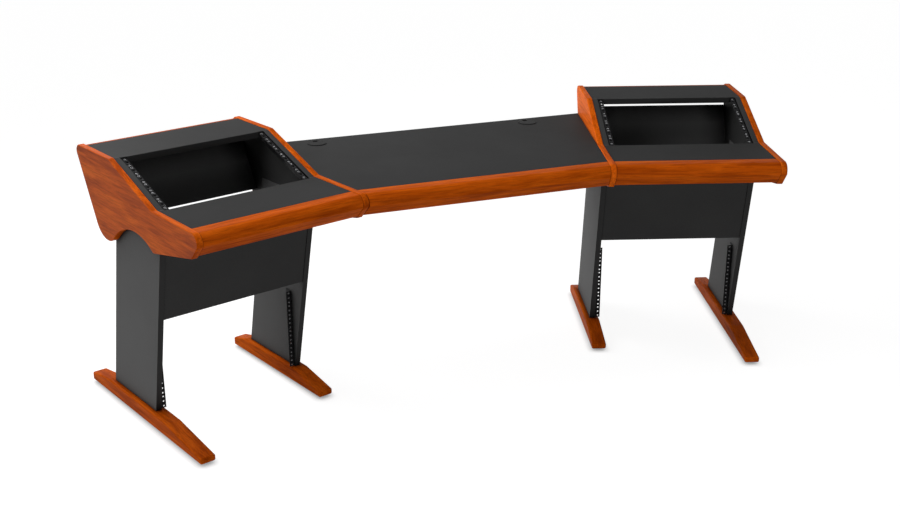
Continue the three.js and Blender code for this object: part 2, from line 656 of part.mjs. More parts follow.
function grommetCap() {
  const skirt = LINER_INSIDE - GROMMET_CLEARANCE;
  const low = FLANGE_TOP - CAP_THICKNESS;
  const profile = [
    [0, low],
    [skirt - CAP_SKIRT_WALL, low],
    [skirt - CAP_SKIRT_WALL, low - CAP_SKIRT_DEPTH],
    [skirt, low - CAP_SKIRT_DEPTH],
    [skirt, low],
    [CAP_RADIUS, low],
    [CAP_RADIUS, FLANGE_TOP],
    [0, FLANGE_TOP],
  ];
  const notchZ = [low - CAP_SKIRT_DEPTH - CUT_OVERRUN, FLANGE_TOP + CUT_OVERRUN];
  const notchV = [CAP_RADIUS - CAP_NOTCH_DEPTH, CAP_RADIUS + CUT_OVERRUN];
  const notch = box([-CAP_NOTCH_WIDTH / 2, CAP_NOTCH_WIDTH / 2], notchV, notchZ);
  return cut(turned(profile, GROMMET_SEGMENTS), [notch]);
}

// Assembly
function node(name, geometry, material) {
  const mesh = new THREE.Mesh(geometry, material());
  mesh.name = name;
  return mesh;
}

function wingPieces() {
  const inner = (build) => build();
  const outer = (build) => onOuterSide(build());
  const upperRail = () => onUpperRail(rackRail(UPPER_RAIL_TAIL));
  const lowerRail = () => onLowerRail(rackRail());
  const frontGlide = (extent) => () => glide(extent.front + GLIDE_INSET);
  const rearGlide = (extent) => () => glide(extent.rear - GLIDE_INSET);
  return [
    ['inner_cheek', inner(cheek), WOOD],
    ['outer_cheek', outer(cheek), WOOD],
    ['inner_side', inner(carcassSide), BLACK_BOARD],
    ['outer_side', outer(carcassSide), BLACK_BOARD],
    ['inner_leg', inner(leg), BLACK_BOARD],
    ['outer_leg', outer(leg), BLACK_BOARD],
    ['inner_foot', inner(() => foot(INNER_FOOT)), WOOD],
    ['outer_foot', outer(() => foot(OUTER_FOOT)), WOOD],
    ['inner_upper_rail', inner(upperRail), BLACK_STEEL],
    ['outer_upper_rail', outer(upperRail), BLACK_STEEL],
    ['inner_lower_rail', inner(lowerRail), BLACK_STEEL],
    ['outer_lower_rail', outer(lowerRail), BLACK_STEEL],
    ['inner_front_glide', inner(frontGlide(INNER_FOOT)), NYLON],
    ['inner_rear_glide', inner(rearGlide(INNER_FOOT)), NYLON],
    ['outer_front_glide', outer(frontGlide(OUTER_FOOT)), NYLON],
    ['outer_rear_glide', outer(rearGlide(OUTER_FOOT)), NYLON],
    ['worktop', box(BETWEEN_CHEEKS, [SEAT_GAP, WORKTOP_DEPTH - SEAT_GAP], TOP_BOARD), LAMINATE],
    ['armrest', spanning(armrestShape(), BETWEEN_CHEEKS), WOOD],
    ['front_rail', box(BETWEEN_SIDES, FRONT_RAIL_V, FRONT_RAIL_Z), BLACK_BOARD],
    ['modesty_panel', spanning(modestyShape(), BETWEEN_SIDES), BLACK_BOARD],
    ['turret_top', turretTop(), LAMINATE],
    ['turret_lipping', spanning(lippingShape(), BETWEEN_CHEEKS), WOOD],
    ['back_panel', spanning(backPanelShape(), BETWEEN_CHEEKS), BLACK_BOARD],
    ['front_bracket', seamBracket(FRONT_BRACKET_V), ZINC_STEEL],
    ['rear_bracket', seamBracket(REAR_BRACKET_V), ZINC_STEEL],
  ];
}

const TOP_BOARD = [WORKTOP_UNDERSIDE, WORKTOP_HEIGHT];
const FRONT_RAIL_V = [SEAT_GAP, BOARD_THICKNESS];
const FRONT_RAIL_Z = [LEG_TOP, WORKTOP_UNDERSIDE - SEAT_GAP];

function wing(prefix, turn) {
  const group = new THREE.Group();
  group.name = `${prefix}_wing`;
  group.position.x = -turn * SEAM_HALF_WIDTH;
  group.rotation.z = turn * WING_ANGLE;
  for (const [name, geometry, material] of wingPieces()) {
    group.add(node(`${prefix}_${name}`, turn > 0 ? mirror(geometry) : geometry, material));
  }
  return group;
}

function centre() {
  const group = new THREE.Group();
  group.name = 'centre';
  const rearRailZ = [WORKTOP_UNDERSIDE - SEAT_GAP - REAR_RAIL_HEIGHT, WORKTOP_UNDERSIDE - SEAT_GAP];
  group.add(
    node('centre_top', centreTop(), LAMINATE),
    node('centre_armrest', centreArmrest(), WOOD),
    node('centre_front_rail', mitred(FRONT_RAIL_V, FRONT_RAIL_Z), BLACK_BOARD),
    node('centre_rear_rail', mitred([REAR_RAIL_V, REAR_RAIL_V + BOARD_THICKNESS], rearRailZ), BLACK_BOARD),
  );
  for (const [prefix, side] of [['left', -1], ['right', 1]]) {
    const grommet = new THREE.Group();
    grommet.name = `${prefix}_grommet`;
    grommet.position.set((side * GROMMET_SPACING) / 2, GROMMET_Y, WORKTOP_HEIGHT);
    grommet.add(
      node(`${prefix}_grommet_liner`, grommetLiner(), BLACK_PLASTIC),
      node(`${prefix}_grommet_cap`, grommetCap(), BLACK_PLASTIC),
    );
    group.add(grommet);
  }
  return group;
}

function build() {
  const desk = new THREE.Group();
  desk.name = 'studio_desk';
  desk.add(centre(), wing('left', 1), wing('right', -1));
  const middle = new THREE.Box3().setFromObject(desk).getCenter(new THREE.Vector3());
  desk.position.y = -middle.y;
  return desk;
}

export default build();
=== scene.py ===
"""Studio desk: two rack turrets turned in towards the player, joined by a centre top.

Metres, +Z up. In a wing, u runs outward from the seam, v runs back and z runs up.
"""
import math

import bmesh
import bpy
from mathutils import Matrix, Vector


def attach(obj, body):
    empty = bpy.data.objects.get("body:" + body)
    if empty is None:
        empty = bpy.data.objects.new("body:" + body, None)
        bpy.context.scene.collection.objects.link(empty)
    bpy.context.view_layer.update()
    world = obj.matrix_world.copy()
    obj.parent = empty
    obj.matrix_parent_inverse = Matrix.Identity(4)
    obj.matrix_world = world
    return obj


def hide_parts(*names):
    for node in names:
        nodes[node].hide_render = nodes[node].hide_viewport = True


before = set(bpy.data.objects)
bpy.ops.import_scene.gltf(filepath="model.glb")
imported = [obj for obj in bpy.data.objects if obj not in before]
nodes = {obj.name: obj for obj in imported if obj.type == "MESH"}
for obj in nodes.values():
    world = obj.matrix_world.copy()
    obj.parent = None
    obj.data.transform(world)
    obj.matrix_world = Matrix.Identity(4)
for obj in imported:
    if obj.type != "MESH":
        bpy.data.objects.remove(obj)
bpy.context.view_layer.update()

SIDES = {"left": -1, "right": 1}
DEGREE = math.pi / 180

# The frame's sizes
SEAT_GAP = 0.0003
CHEEK_THICKNESS = 0.020
BOARD_THICKNESS = 0.018
WORKTOP_THICKNESS = 0.025
BAY_WIDTH = 0.487
BAY_INSET = CHEEK_THICKNESS + SEAT_GAP + BOARD_THICKNESS
WING_WIDTH = BAY_WIDTH + 2 * BAY_INSET
WING_ANGLE = 18.2 * DEGREE
SEAM_HALF_WIDTH = 0.4164
DESK_Y = -0.218397  # the seam's front corner, from the middle of the footprint
WORKTOP_HEIGHT = 0.740
WORKTOP_UNDERSIDE = WORKTOP_HEIGHT - WORKTOP_THICKNESS
RACK_UNIT = 0.04445
RACK_UNITS = 6
RACK_LENGTH = RACK_UNIT * RACK_UNITS
RACK_PITCH_SHARES = (1 / 7, 1 / 2, 6 / 7)
RACK_HOLE_RADIUS = 0.00325
RACK_HOLE_INSET = 0.00755
SLOPE_ANGLE = 20.25 * DEGREE
SLOPE_FOOT_V = 0.1986
RACK_FOOT_CLEARANCE = 0.0041
SLOPE_LENGTH = RACK_LENGTH + RACK_FOOT_CLEARANCE + 0.0057
TURRET_HEIGHT = WORKTOP_HEIGHT + SLOPE_LENGTH * math.sin(SLOPE_ANGLE)
SLOPE_TOP_V = SLOPE_FOOT_V + SLOPE_LENGTH * math.cos(SLOPE_ANGLE)
LIPPING_V = 0.6465
LIPPING_DEPTH = 0.010
LIPPING_ROUND = 0.0015
TURRET_TOP_THICKNESS = 0.019
NOSE_RADIUS = 0.026
NOSE_FLAT = 0.035
NOSE_FRONT_HEIGHT = 0.009
NOSE_CHAMFER_ANGLE = 47.9 * DEGREE
ARMREST_HEIGHT = 0.070
ARMREST_CORNER_RADIUS = 0.002
CHEEK_PROUD = 0.002
CHEEK_NOSE_DROP = 0.077
CHEEK_NOSE_CORNER_RADIUS = 0.009
CHEEK_BELLY_CORNER_RADIUS = 0.014
CHEEK_TOP_CORNER_RADIUS = 0.022
CHEEK_EDGE_ROUND = 0.003
BELLY_ANGLE = 12 * DEGREE
ARCH_RADIUS = 0.205
ARCH_V = 0.322
ARCH_Z = WORKTOP_HEIGHT - 0.092 - ARCH_RADIUS
LOBE_RADIUS = 0.074
LOBE_Z = WORKTOP_HEIGHT - 0.1715 + LOBE_RADIUS
BACK_RAKE = 26.5 * DEGREE
LEG_FRONT_V = 0.3314
LEG_WIDTH = 0.285
LEG_MIDDLE_U = CHEEK_THICKNESS + SEAT_GAP + BOARD_THICKNESS / 2
GLIDE_HEIGHT = 0.008
GLIDE_INSET = 0.038  # from the end of the foot to the glide's middle
FOOT_TOP = 0.056
FOOT_WIDTH = 0.050
FOOT_FRONT_END_HEIGHT = 0.020
FOOT_REAR_END_HEIGHT = 0.027
FOOT_CORNER_RADIUS = 0.006
FOOT_EDGE_ROUND = 0.006
FEET = {  # front, rear, and the flats that run past the leg at the front and at the rear
    "outer": (0.0257, 0.7634, 0.0944, 0.0186),
    "inner": (0.1655, 0.7105, 0.0184, 0.0116),
}
RAIL_STEEL = 0.002
RAIL_FACE = 0.0182
RAIL_FLANGE = 0.030
RAIL_RECESS = 0.003
UPPER_RAIL_TAIL = 0.007
LOWER_RAIL_V = 0.3345
LOWER_RAIL_Z = FOOT_TOP + 0.0022
RAIL_SCREW_SHARES = (0.1, 0.5, 0.9)  # along the rail
RAIL_SCREW_FLANGE_SHARE = 0.6  # back on the side flange
BRACKET_LEG = 0.040
BRACKET_LENGTH = 0.060
BRACKET_STEEL = 0.003
BRACKET_STARTS = {"front": 0.110, "rear": 0.380}
BRACKET_SCREW_SHARES = (0.22, 0.78)  # along the bracket
BRACKET_TOP_SCREW_SHARE = 0.62  # out from the corner, on the leg under the worktop
BRACKET_SIDE_SCREW_SHARE = 0.56  # down from the corner, on the leg at the cheek
GROMMET_X = 0.387
GROMMET_Y = 0.5515
BOARD_EASE = 0.0006  # what is taken off a board's hard edges


# Camera
CAMERA_SENSOR_MM = 36
CAMERA_LENS_MM = 49.19
CAMERA_PLACE = (-1.4086, -3.3351 + DESK_Y, 1.8259)
CAMERA_YAW = 0.3682
CAMERA_PITCH = -0.3546
CAMERA_ROLL = -0.0018


def add_camera():
    data = bpy.data.cameras.new("camera")
    data.sensor_width = CAMERA_SENSOR_MM
    data.lens = CAMERA_LENS_MM
    camera = bpy.data.objects.new("camera", data)
    level = math.cos(CAMERA_PITCH)
    forward = Vector((math.sin(CAMERA_YAW) * level, math.cos(CAMERA_YAW) * level, math.sin(CAMERA_PITCH)))
    camera.rotation_euler = forward.to_track_quat("-Z", "Y").to_euler()
    camera.rotation_euler.rotate_axis("Z", CAMERA_ROLL)
    camera.location = CAMERA_PLACE
    bpy.context.scene.collection.objects.link(camera)
    bpy.context.scene.camera = camera


# Materials
# Painted shade: colours are darkened where nearby parts hide the sky, in creases, corners and joints
CREASE_OPEN_SHARES = (0.45, 0.95)  # of the sky: in a square crease, and where a face counts as open
CREASE_SAMPLES = 4
WOOD_CREASE_SHADE = (0.012, 0.35)  # how far the shade painted into a crease reaches, and what it leaves of the colour
BOARD_CREASE_SHADE = (0.05, 0.1)
DEEP_CREASE_SHADE = (0.10, 0.0)  # painted crease shade on the legs and in the rack bays
BROAD_FACE_COSINES = (0.80, 0.95)  # between them an edge passes into a broad face
BOARD_SEED_STEP = (0.7, 0.3, 0)  # moves the pattern from material to material


class Graph:
    """A material's nodes, added and linked in one line each."""

    def __init__(self, name):
        self.material = bpy.data.materials.new(name)
        self.material.use_nodes = True
        self.tree = self.material.node_tree
        self.shader = self.tree.nodes["Principled BSDF"]

    def add(self, kind, inputs=None, **settings):
        node = self.tree.nodes.new(kind)
        for key, value in settings.items():
            setattr(node, key, value)
        for key, value in (inputs or {}).items():
            self.feed(node.inputs[key], value)
        return node

    def feed(self, socket, value):
        if isinstance(value, bpy.types.NodeSocket):
            self.tree.links.new(value, socket)
        else:
            socket.default_value = value

    def noise(self, vector, scale, detail=4.0, roughness=0.55, distortion=0.0):
        node = self.add("ShaderNodeTexNoise", {"Vector": vector, "Scale": scale, "Detail": detail})
        self.feed(node.inputs["Roughness"], roughness)
        self.feed(node.inputs["Distortion"], distortion)
        return node.outputs["Fac"]

    def ramp(self, factor, stops):
        node = self.add("ShaderNodeValToRGB", {"Fac": factor})
        elements = node.color_ramp.elements
        while len(elements) < len(stops):
            elements.new(0.5)
        for element, (place, colour) in zip(elements, stops):
            element.position = place
            element.color = (*colour, 1)
        return node.outputs["Color"]

    def spread(self, factor, low, high, to_low=0.0, to_high=1.0):
        inputs = {"Value": factor, "From Min": low, "From Max": high, "To Min": to_low, "To Max": to_high}
        return self.add("ShaderNodeMapRange", inputs).outputs["Result"]

    def math(self, operation, *values):
        node = self.add("ShaderNodeMath", operation=operation)
        for i, value in enumerate(values):
            self.feed(node.inputs[i], value)
        return node.outputs["Value"]

    def weigh(self, a, b, share):
        """The share of a and the rest of b."""
        return self.math("ADD", self.math("MULTIPLY", a, share), self.math("MULTIPLY", b, 1 - share))

    def mix(self, factor, a, b, blend_type="MIX"):
        """Mixes two colours, whose sockets share their names with the node's other kinds of value."""
        node = self.add("ShaderNodeMix", data_type="RGBA", blend_type=blend_type)
        self.feed(node.inputs["Factor"], factor)
        self.feed(node.inputs[6], a)
        self.feed(node.inputs[7], b)
        return node.outputs[2]

    def bump(self, height, strength, distance):
        inputs = {"Height": height, "Strength": strength, "Distance": distance}
        return self.add("ShaderNodeBump", inputs).outputs["Normal"]

    def open_sky(self, distance, samples):
        """Share of the sky that nothing nearer than the distance hides."""
        node = self.add("ShaderNodeAmbientOcclusion", {"Distance": distance}, samples=samples)
        return node.outputs["AO"]

    def creased(self, colour, distance, closed):
        """The colour with painted shade, darkened in creases down to the closed share of it."""
        left = self.spread(self.open_sky(distance, CREASE_SAMPLES), *CREASE_OPEN_SHARES, closed, 1.0)
        return self.mix(1.0, colour, left, blend_type="MULTIPLY")

    def place(self, turn=0.0, scale=(1, 1, 1), offset=(0, 0, 0)):
        """Coordinates in metres, turned about Z so that x runs along the piece."""
        point = self.add("ShaderNodeTexCoord").outputs["Object"]
        inputs = {"Vector": point, "Rotation": (0, 0, -turn), "Location": offset}
        turned = self.add("ShaderNodeMapping", inputs).outputs[0]
        return self.add("ShaderNodeMapping", {"Vector": turned, "Scale": scale}).outputs[0]


def on_faces(g, side):
    """1 on a wing board's two broad faces, 0 on its edges."""
    normal = g.add("ShaderNodeTexCoord").outputs["Normal"]
    across = (math.cos(WING_ANGLE), -side * math.sin(WING_ANGLE), 0)
    facing = g.add("ShaderNodeVectorMath", {0: normal, 1: across}, operation="DOT_PRODUCT")
    return g.spread(g.math("ABSOLUTE", facing.outputs["Value"]), *BROAD_FACE_COSINES)


def rgb(red, green, blue):
    """sRGB bytes as linear light."""
    values = (red / 255, green / 255, blue / 255)
    return tuple(c / 12.92 if c <= 0.04045 else ((c + 0.055) / 1.055) ** 2.4 for c in values)


WOOD_RAMP = [(0.38, rgb(174, 69, 4)), (0.50, rgb(211, 91, 10)), (0.62, rgb(232, 107, 17))]
WOOD_STREAK = (*rgb(134, 53, 3), 1)
WOOD_FLECK = (*rgb(106, 43, 3), 1)
# Grey of the sheen painted onto the wood's broad faces
WOOD_PAINTED_SHEEN = (*rgb(126, 122, 120), 1)
WOOD_SEED_STEP = (1.37, 0.53, 0.91)  # moves the grain from piece to piece


def wood(name, turn, seed, tone=1.0, painted_sheen=0.0, side=1):
    """Lacquered red-brown wood with its grain along the piece; a painted sheen greys its broad faces."""
    g = Graph(name)
    offset = tuple(seed * step for step in WOOD_SEED_STEP)
    broad = g.place(turn, scale=(1, 7, 7), offset=offset)
    long = g.place(turn, scale=(1.6, 16, 16), offset=offset)
    fine = g.place(turn, scale=(2.2, 44, 44), offset=offset)
    cloud = g.noise(broad, scale=2.2, detail=4, roughness=0.55, distortion=0.8)
    bands = g.noise(long, scale=3.4, detail=6, roughness=0.62, distortion=0.45)
    streaks = g.noise(fine, scale=5.0, detail=6, roughness=0.7, distortion=0.2)
    pores = g.noise(fine, scale=30, detail=3, roughness=0.6)
    cloud_share, streak_share, fleck_share = 0.4, 0.62, 0.40
    colour = g.ramp(g.weigh(cloud, bands, cloud_share), WOOD_RAMP)
    dark = g.spread(streaks, 0.48, 0.70)
    colour = g.mix(g.math("MULTIPLY", dark, streak_share), colour, WOOD_STREAK)
    flecks = g.spread(pores, 0.58, 0.72)
    colour = g.mix(g.math("MULTIPLY", flecks, fleck_share), colour, WOOD_FLECK)
    colour = g.mix(1.0, colour, (tone, tone, tone, 1), blend_type="MULTIPLY")
    # Painted sheen: the broad faces are greyed as if they reflected the white room
    if painted_sheen:
        colour = g.mix(g.math("MULTIPLY", on_faces(g, side), painted_sheen), colour, WOOD_PAINTED_SHEEN)
    g.feed(g.shader.inputs["Base Color"], g.creased(colour, *WOOD_CREASE_SHADE))
    g.feed(g.shader.inputs["Roughness"], g.spread(streaks, 0.3, 0.7, to_low=0.40, to_high=0.52))
    g.shader.inputs["Specular IOR Level"].default_value = 0.014
    grain = g.bump(g.math("ADD", streaks, pores), strength=0.10, distance=0.0004)
    g.feed(g.shader.inputs["Normal"], grain)
    return g.material


def board(name, shade, roughness=0.55, seed=0, specular=0.05, edge=None, crease=None):
    """Coated board or plastic: a fine pebble with a slight cloudiness.

    An edge setting gives the shade painted onto the board's edges, lighter or darker than its broad faces
    as painted light and shade, and the side of the desk on which the board stands in a wing; a crease
    setting gives the reach and depth of the shade painted into its creases.
    """
    g = Graph(name)
    point = g.place(offset=tuple(seed * step for step in BOARD_SEED_STEP))
    cloud = g.noise(point, scale=3.0, detail=3)
    pebble = g.noise(point, scale=900, detail=2)
    grain = g.noise(point, scale=260, detail=3)
    low = rgb(shade - 3, shade - 3, shade - 3)
    high = rgb(shade + 4, shade + 4, shade + 4)
    cloud_share = 0.6
    colour = g.ramp(g.weigh(cloud, grain, cloud_share), [(0.35, low), (0.65, high)])
    # Painted light and shade: the edges and the broad faces of one board get different shades
    if edge:
        painted_edge_shade, side = edge
        colour = g.mix(on_faces(g, side), (*rgb(painted_edge_shade, painted_edge_shade, painted_edge_shade), 1), colour)
    if crease:
        colour = g.creased(colour, *crease)
    g.feed(g.shader.inputs["Base Color"], colour)
    sheen = g.spread(grain, 0.3, 0.7, to_low=roughness - 0.05, to_high=roughness + 0.07)
    g.feed(g.shader.inputs["Roughness"], sheen)
    g.shader.inputs["Specular IOR Level"].default_value = specular
    g.feed(g.shader.inputs["Normal"], g.bump(pebble, strength=0.10, distance=0.0002))
    return g.material


def metal(name, colour, roughness, metallic, specular=0.5):
    """Coated or plated steel: orange peel and a little wear."""
    g = Graph(name)
    point = g.place()
    orange_peel = g.noise(point, scale=700, detail=2)
    wear = g.noise(point, scale=40, detail=5)
    low = tuple(c * 0.85 for c in colour)
    high = tuple(min(1, c * 1.2) for c in colour)
    g.feed(g.shader.inputs["Base Color"], g.ramp(wear, [(0.35, low), (0.7, high)]))
    sheen = g.spread(wear, 0.3, 0.7, to_low=roughness - 0.06, to_high=roughness + 0.08)
    g.feed(g.shader.inputs["Roughness"], sheen)
    g.shader.inputs["Metallic"].default_value = metallic
    g.shader.inputs["Specular IOR Level"].default_value = specular
    g.feed(g.shader.inputs["Normal"], g.bump(orange_peel, strength=0.15, distance=0.0003))
    return g.material


# Light and floor
FLOOR_HALF_SIZE = 60
FLOOR_LIT = 0.30  # the floor's colour under the lamps, which lets it keep the desk's soft shadow
FLOOR_GLOW = 0.91  # added to that, it makes the floor white
FLOOR_BOUNCE = 0.5  # the floor's colour as the desk sees it
CONTACT_SHADOW_REACH = 0.022  # how far from a foot the painted contact shadow dims the glow
CONTACT_SHADOW_GLOW_SHARE = 0.2  # what is left of the glow right under a foot, in the painted contact shadow
CONTACT_SAMPLES = 8
WORLD_LEVEL = 0.07
SUN_ANGLE = 50 * DEGREE
SUNS = [  # name, direction towards the sun, strength
    ("side", (-0.95, -0.05, 0.25), 0.98),
    ("sky", (-0.1, 0.0, 1.0), 0.40),
]
AREA_LAMPS = [  # name, place, target, diameter, watts
    ("overhead", (-1.2, 0.3, 2.4), (-0.5, 0, 0.7), 1.6, 19),
    ("rear", (-1.4, 1.8, 1.9), (-0.6, 0, 0.7), 1.6, 27),
    ("front", (-0.2, -3.0, 0.5), (-0.1, 0, 0.5), 1.8, 21.7),
]


def seen_directly(tree):
    """1 where the camera, a reflection or a refraction looks, 0 for light on its way to a surface."""
    path = tree.nodes.new("ShaderNodeLightPath")
    total = path.outputs["Is Camera Ray"]
    for kind in ("Is Glossy Ray", "Is Transmission Ray"):
        node = tree.nodes.new("ShaderNodeMath")
        node.operation = "MAXIMUM"
        tree.links.new(total, node.inputs[0])
        tree.links.new(path.outputs[kind], node.inputs[1])
        total = node.outputs[0]
    return total


def add_floor():
    mesh = bpy.data.meshes.new("floor")
    quarters = ((-1, -1), (1, -1), (1, 1), (-1, 1))
    corners = [(x * FLOOR_HALF_SIZE, y * FLOOR_HALF_SIZE, 0) for x, y in quarters]
    mesh.from_pydata(corners, [], [(0, 1, 2, 3)])
    floor = bpy.data.objects.new("floor", mesh)
    bpy.context.scene.collection.objects.link(floor)
    g = Graph("floor_white")
    direct = seen_directly(g.tree)
    g.feed(g.shader.inputs["Base Color"], g.ramp(direct, [(0, [FLOOR_BOUNCE] * 3), (1, [FLOOR_LIT] * 3)]))
    g.shader.inputs["Roughness"].default_value = 1
    g.shader.inputs["Specular IOR Level"].default_value = 0
    g.shader.inputs["Emission Color"].default_value = (1, 1, 1, 1)
    # Painted contact shadow: the glow dims where the desk hides the sky
    open_sky = g.open_sky(CONTACT_SHADOW_REACH, CONTACT_SAMPLES)
    shadowed_glow = g.spread(open_sky, 0, 1, to_low=FLOOR_GLOW * CONTACT_SHADOW_GLOW_SHARE, to_high=FLOOR_GLOW)
    glow = g.math("MULTIPLY", direct, shadowed_glow)
    g.feed(g.shader.inputs["Emission Strength"], glow)
    mesh.materials.append(g.material)


def add_world():
    world = bpy.data.worlds.new("studio")
    bpy.context.scene.world = world
    world.use_nodes = True
    tree = world.node_tree
    background = tree.nodes["Background"]
    background.inputs["Color"].default_value = (1, 1, 1, 1)
    level = tree.nodes.new("ShaderNodeMapRange")
    tree.links.new(seen_directly(tree), level.inputs["Value"])
    level.inputs["To Min"].default_value = WORLD_LEVEL
    level.inputs["To Max"].default_value = 1.0
    tree.links.new(level.outputs["Result"], background.inputs["Strength"])


def add_lamp(data, location, towards_target):
    lamp = bpy.data.objects.new(data.name, data)
    lamp.location = location
    lamp.rotation_euler = towards_target.to_track_quat("-Z", "Y").to_euler()
    bpy.context.scene.collection.objects.link(lamp)


def add_lamps():
    for name, towards, strength in SUNS:
        data = bpy.data.lights.new(name, "SUN")
        data.energy = strength
        data.angle = SUN_ANGLE
        add_lamp(data, Vector(towards) * 4, -Vector(towards))
    for name, place, target, diameter, watts in AREA_LAMPS:
        data = bpy.data.lights.new(name, "AREA")
        data.shape = "DISK"
        data.size = diameter
        data.energy = watts
        add_lamp(data, place, Vector(target) - Vector(place))


# Outlines, as lists of (v, z)
def arc(centre, radius, start, end, step=3 * DEGREE):
    count = max(2, math.ceil(abs(end - start) / step))
    angles = [start + (end - start) * i / count for i in range(count + 1)]
    return [(centre[0] + radius * math.cos(a), centre[1] + radius * math.sin(a)) for a in angles]


def rounded(before, corner, after, radius, step=9 * DEGREE):
    """Points of an arc that rounds the corner."""
    at = Vector(corner)
    a = (Vector(before) - at).normalized()
    b = (Vector(after) - at).normalized()
    half = math.acos(max(-1, min(1, a.dot(b)))) / 2
    centre = at + (a + b).normalized() * (radius / math.sin(half))
    reach = radius / math.tan(half)
    start = at + a * reach - centre
    end = at + b * reach - centre
    first = math.atan2(start.y, start.x)
    turn = (math.atan2(end.y, end.x) - first + math.pi) % (2 * math.pi) - math.pi
    return arc(centre, radius, first, first + turn, step)


def nose(proud, bottom_drop):
    """Bullnose from its top to the upright face, with the chamfer's two corners."""
    radius = NOSE_RADIUS + proud
    centre = (-NOSE_FLAT, WORKTOP_HEIGHT - NOSE_RADIUS)
    front = centre[0] - radius
    top = (front, centre[1] - NOSE_FRONT_HEIGHT)
    bottom = WORKTOP_HEIGHT - bottom_drop
    foot = (front + (top[1] - bottom) / math.tan(NOSE_CHAMFER_ANGLE), bottom)
    return arc(centre, radius, math.pi / 2, math.pi), top, foot


def armrest_outline():
    curve, top, foot = nose(0, ARMREST_HEIGHT)
    back_low = (0, WORKTOP_HEIGHT - ARMREST_HEIGHT)
    back_high = (0, WORKTOP_HEIGHT)
    return [
        back_low,
        back_high,
        *curve,
        *rounded(curve[-1], top, foot, ARMREST_CORNER_RADIUS),
        *rounded(top, foot, back_low, ARMREST_CORNER_RADIUS),
    ]


def cheek_rear(z, lobe_v):
    return lobe_v + LOBE_RADIUS / math.cos(BACK_RAKE) + (z - LOBE_Z) * math.tan(BACK_RAKE)


def cheek_outline():
    curve, chamfer_top, chamfer_foot = nose(CHEEK_PROUD, CHEEK_NOSE_DROP)
    rise = LOBE_Z - ARCH_Z
    lobe_v = ARCH_V + math.sqrt((ARCH_RADIUS + LOBE_RADIUS) ** 2 - rise**2)
    shift = CHEEK_PROUD * math.tan(SLOPE_ANGLE / 2)
    top = TURRET_HEIGHT + CHEEK_PROUD
    slope_foot = (SLOPE_FOOT_V - shift, WORKTOP_HEIGHT + CHEEK_PROUD)
    slope_top = (SLOPE_TOP_V - shift, top)
    rear_top = (cheek_rear(top, lobe_v), top)
    tilt = math.tan(BELLY_ANGLE)
    drop = ARCH_Z - (chamfer_foot[1] - (ARCH_V - chamfer_foot[0]) * tilt)
    meets = math.atan2(1, tilt) + math.acos(-drop / (ARCH_RADIUS * math.hypot(1, tilt)))
    contact = math.atan2(rise, lobe_v - ARCH_V)
    arch = arc((ARCH_V, ARCH_Z), ARCH_RADIUS, meets, contact)
    belly_end = 3  # the point of the arch at which its rounded start is over
    lobe = arc((lobe_v, LOBE_Z), LOBE_RADIUS, contact + math.pi, 2 * math.pi - BACK_RAKE)
    return [
        *curve,
        *rounded(curve[-1], chamfer_top, chamfer_foot, CHEEK_NOSE_CORNER_RADIUS),
        *rounded(chamfer_top, chamfer_foot, arch[0], CHEEK_NOSE_CORNER_RADIUS),
        *rounded(chamfer_foot, arch[0], arch[belly_end], CHEEK_BELLY_CORNER_RADIUS, 3 * DEGREE),
        *arch[belly_end:],
        *lobe[1:],
        *rounded(lobe[-1], rear_top, slope_top, CHEEK_TOP_CORNER_RADIUS, 5 * DEGREE),
        slope_top,
        slope_foot,
    ]


def foot_outline(front, rear, front_flat, rear_flat):
    corners = [
        (front, GLIDE_HEIGHT),
        (rear, GLIDE_HEIGHT),
        (rear, GLIDE_HEIGHT + FOOT_REAR_END_HEIGHT),
        (LEG_FRONT_V + LEG_WIDTH + rear_flat, FOOT_TOP),
        (LEG_FRONT_V - front_flat, FOOT_TOP),
        (front, GLIDE_HEIGHT + FOOT_FRONT_END_HEIGHT),
    ]
    points = []
    for i, corner in enumerate(corners):
        points += rounded(corners[i - 1], corner, corners[(i + 1) % len(corners)], FOOT_CORNER_RADIUS)
    return points


def lipping_outline():
    low, high = TURRET_HEIGHT - TURRET_TOP_THICKNESS, TURRET_HEIGHT
    front = LIPPING_V + SEAT_GAP
    rear = front + LIPPING_DEPTH
    front_low, rear_low, rear_high, front_high = (front, low), (rear, low), (rear, high), (front, high)
    return [
        front_low,
        *rounded(front_low, rear_low, rear_high, LIPPING_ROUND),
        *rounded(rear_low, rear_high, front_high, LIPPING_ROUND),
        front_high,
    ]


# Meshes
MERGE_DISTANCE = 1e-6
WELD_DISTANCE = 1e-5  # for the boards of the frame
SCREW_RADIUS = 0.0042
SCREW_HEIGHT = 0.0026
SCREW_SEGMENTS = 32
SCREW_RING_SHARES = (0.35, 0.7, 0.9, 1.0)  # of the quarter turn that the head's side makes
SCREW_DRAW_IN_SHARE = 0.42  # how much narrower the head is at its top
CROSS_ARM = 0.0019
CROSS_HALF_WIDTH = 0.0005
CROSS_FOOT_SHARE = 0.8  # the cross is that much smaller at its foot
CROSS_FOOT_HEIGHT_SHARE = 0.35
EASE_ANGLE = 40 * DEGREE  # edges that are sharper are eased


def to_world(side, u, v, z):
    x = side * (SEAM_HALF_WIDTH + u * math.cos(WING_ANGLE) + v * math.sin(WING_ANGLE))
    return Vector((x, DESK_Y - u * math.sin(WING_ANGLE) + v * math.cos(WING_ANGLE), z))


def finish_mesh(name, bm, sharp=20 * DEGREE):
    bmesh.ops.remove_doubles(bm, verts=bm.verts, dist=MERGE_DISTANCE)
    bmesh.ops.recalc_face_normals(bm, faces=bm.faces)
    mesh = bpy.data.meshes.new(name)
    bm.to_mesh(mesh)
    bm.free()
    for polygon in mesh.polygons:
        polygon.use_smooth = True
    mesh.set_sharp_from_angle(angle=sharp)
    piece = bpy.data.objects.new(name, mesh)
    bpy.context.scene.collection.objects.link(piece)
    return piece


